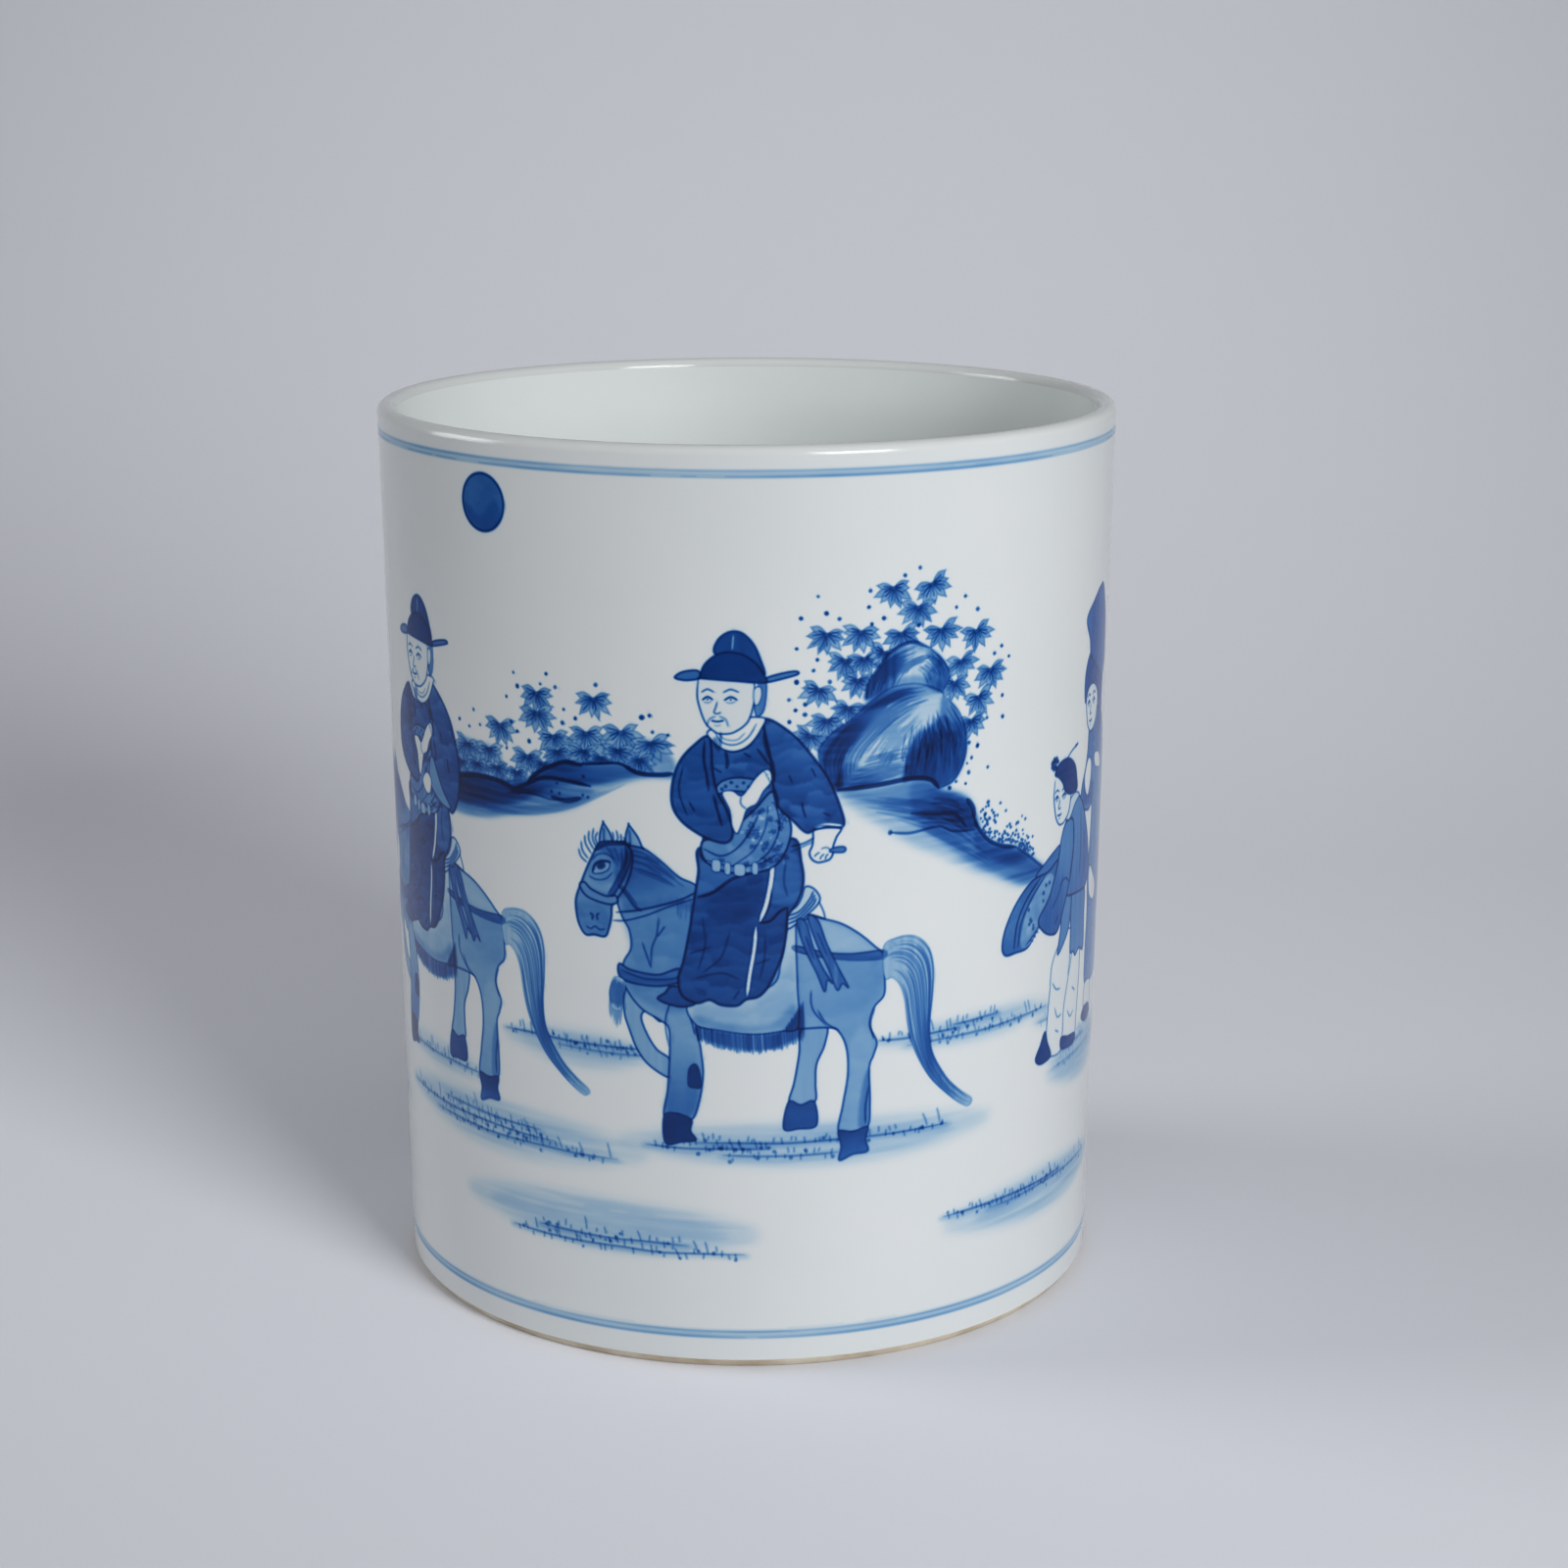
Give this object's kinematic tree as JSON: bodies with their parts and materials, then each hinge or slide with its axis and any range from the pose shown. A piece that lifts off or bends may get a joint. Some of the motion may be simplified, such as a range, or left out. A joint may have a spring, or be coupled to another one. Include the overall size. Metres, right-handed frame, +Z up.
{
  "type": "brush pot",
  "caption": "Cylindrical blue-and-white porcelain brush holder pot with a rounded lip, a painted scene of riders and an unglazed foot ring.",
  "frame": {"origin": "centre of the foot ring's underside, on the surface that the pot stands on", "axes": "+Z up the pot's axis, towards the lip; -Y faces the side of the painting with the middle rider"},
  "size_m": [0.172, 0.172, 0.208],
  "materials": {
    "porcelain_body": "smooth unglazed",
    "foot_biscuit": "unglazed, pared and slightly gritty",
    "outer_glaze": "glossy clear glaze over cobalt blue painting",
    "inner_glaze": "glossy clear glaze"
  },
  "bodies": {
    "root": {"body_wall": "porcelain_body", "floor_slab": "porcelain_body", "foot_ring": "foot_biscuit", "outer_glaze": "outer_glaze", "inner_glaze": "inner_glaze", "base_glaze": "inner_glaze"}
  },
  "joints": []
}
